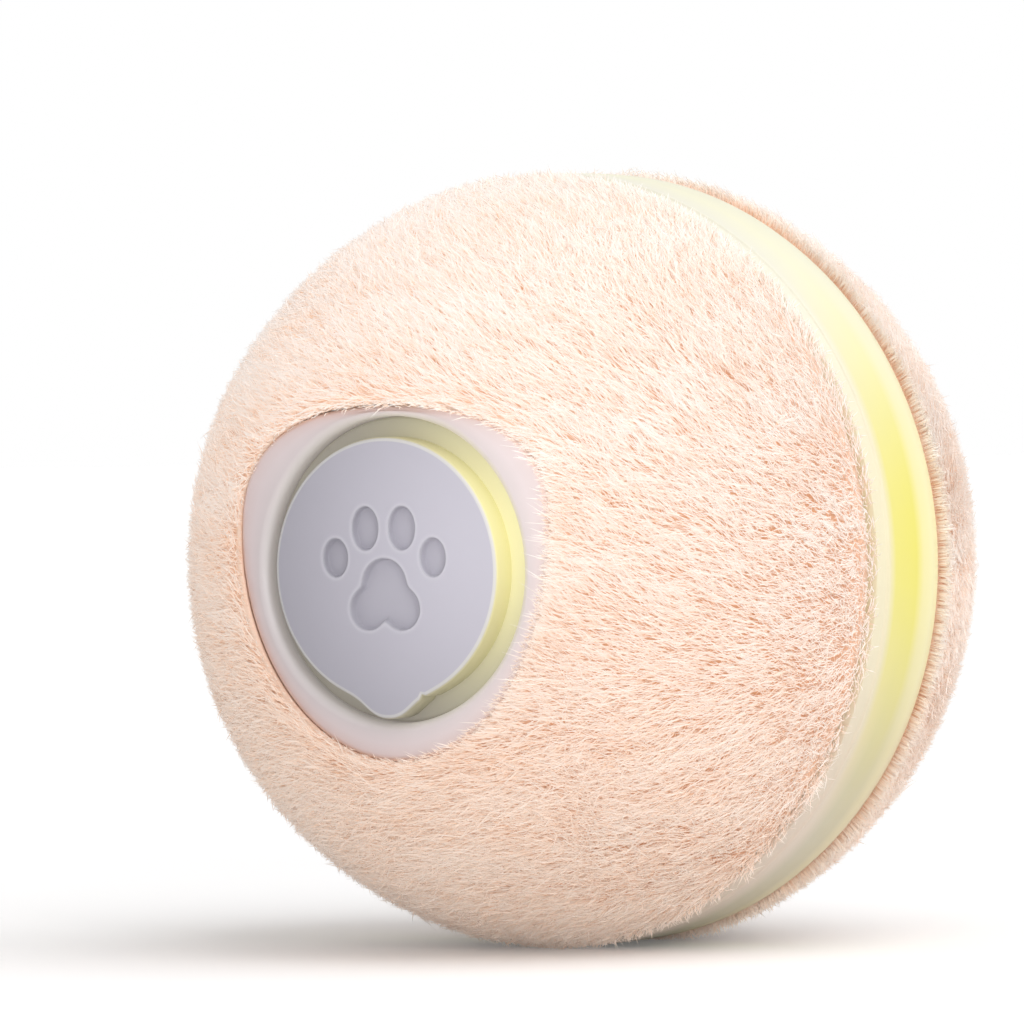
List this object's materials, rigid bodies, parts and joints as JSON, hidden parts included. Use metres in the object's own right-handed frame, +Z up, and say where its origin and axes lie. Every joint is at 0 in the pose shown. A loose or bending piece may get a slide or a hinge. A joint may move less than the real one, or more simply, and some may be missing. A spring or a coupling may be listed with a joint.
{
  "type": "self rolling cat ball",
  "caption": "Small plush covered ball for cats that rolls by itself: a geared motor swings an eccentric weight, and a soft cover hides the charging port and power key.",
  "frame": {"origin": "The point where the ball stands on the floor: the middle of the lowest flat of its grip band, with the swinging weight at the bottom.", "axes": "+Z up. Y is the ball's polar axis and the axis of its drive: the charging port is at the -Y pole and the motor towards +Y. X is across."},
  "size_m": [0.0416, 0.0399, 0.0416],
  "materials": {
    "shell": "moulded ABS, fine matte",
    "fur": "short peach plush pile on a knitted backing",
    "band": "translucent milky silicone, satin",
    "diffuser": "frosted translucent polycarbonate",
    "bezel": "satin moulded ABS",
    "silicone": "matte moulded silicone",
    "well": "moulded ABS, fine matte",
    "board": "glass fibre board under green solder mask",
    "chip": "moulded black epoxy",
    "led": "clear epoxy over yellow phosphor",
    "steel": "plated steel",
    "zinc": "die-cast zinc, tumbled",
    "brass": "turned brass",
    "frame": "moulded ABS",
    "gear": "moulded acetal",
    "battery": "aluminium laminate pouch",
    "lead": "silicone insulation"
  },
  "bodies": {
    "root": {"port_side_shell": "shell", "drive_side_shell": "shell", "port_side_fur": "fur", "drive_side_fur": "fur", "grip_band": "band", "diffuser_ring": "diffuser", "port_bezel": "bezel", "port_light_ring": "diffuser", "port_well": "well", "cover_tether": "silicone", "tact_switch": "chip", "usb_port": "steel", "usb_tongue": "chip", "main_board": "board", "ring_led_1": "led", "ring_led_2": "led", "ring_led_3": "led", "controller_chip": "chip", "charger_chip": "chip", "motion_sensor": "chip", "battery_cell": "battery", "battery_tray": "frame", "led_ring_board": "board", "band_led_1": "led", "band_led_2": "led", "band_led_3": "led", "drive_plate": "frame", "output_bush": "brass", "motor_plate": "frame", "compound_pin": "steel", "motor_can": "steel", "motor_end_cap": "chip", "motor_lead": "lead", "battery_lead": "lead", "drive_plate_screw_1": "steel", "drive_plate_screw_2": "steel", "drive_plate_screw_3": "steel", "tray_screw_1": "steel", "tray_screw_2": "steel", "tray_screw_3": "steel", "motor_plate_screw_1": "steel", "motor_plate_screw_2": "steel", "motor_plate_screw_3": "steel", "well_screw_1": "steel", "well_screw_2": "steel", "well_screw_3": "steel", "board_screw_1": "steel", "board_screw_2": "steel"},
    "cover": {"port_cover": "silicone"},
    "key": {"power_key": "well"},
    "weight": {"eccentric_weight": "zinc", "weight_carrier": "frame", "weight_screw_1": "steel", "weight_screw_2": "steel", "output_shaft": "steel", "output_wheel": "gear"},
    "compound": {"compound_gear": "gear"},
    "rotor": {"motor_pinion": "brass", "motor_shaft": "steel", "motor_rotor": "brass"}
  },
  "joints": [
    {"name": "cover_hinge", "type": "hinge", "parent": "root", "child": "cover", "pos_m": [0, -0.0179, 0.0275], "axis": [-1, 0, 0], "range_deg": [0, 95], "stiffness_Nm_per_rad": 0.0002},
    {"name": "power_key", "type": "slide", "parent": "root", "child": "key", "axis": [0, 1, 0], "range_m": [0, 0.0004], "stiffness_N_per_m": 1500, "springref_m": -0.0002},
    {"name": "weight_spin", "type": "hinge", "parent": "root", "child": "weight", "pos_m": [0, 0, 0.0208], "axis": [0, 1, 0], "continuous": true},
    {"name": "compound_spin", "type": "hinge", "parent": "root", "child": "compound", "pos_m": [0, 0, 0.02834], "axis": [0, 1, 0], "continuous": true},
    {"name": "motor_spin", "type": "hinge", "parent": "root", "child": "rotor", "pos_m": [0, 0, 0.0208], "axis": [0, 1, 0], "continuous": true}
  ],
  "couplings": [
    {"joint": "compound_spin", "follows": "weight_spin", "ratio": -4},
    {"joint": "motor_spin", "follows": "weight_spin", "ratio": 16}
  ]
}
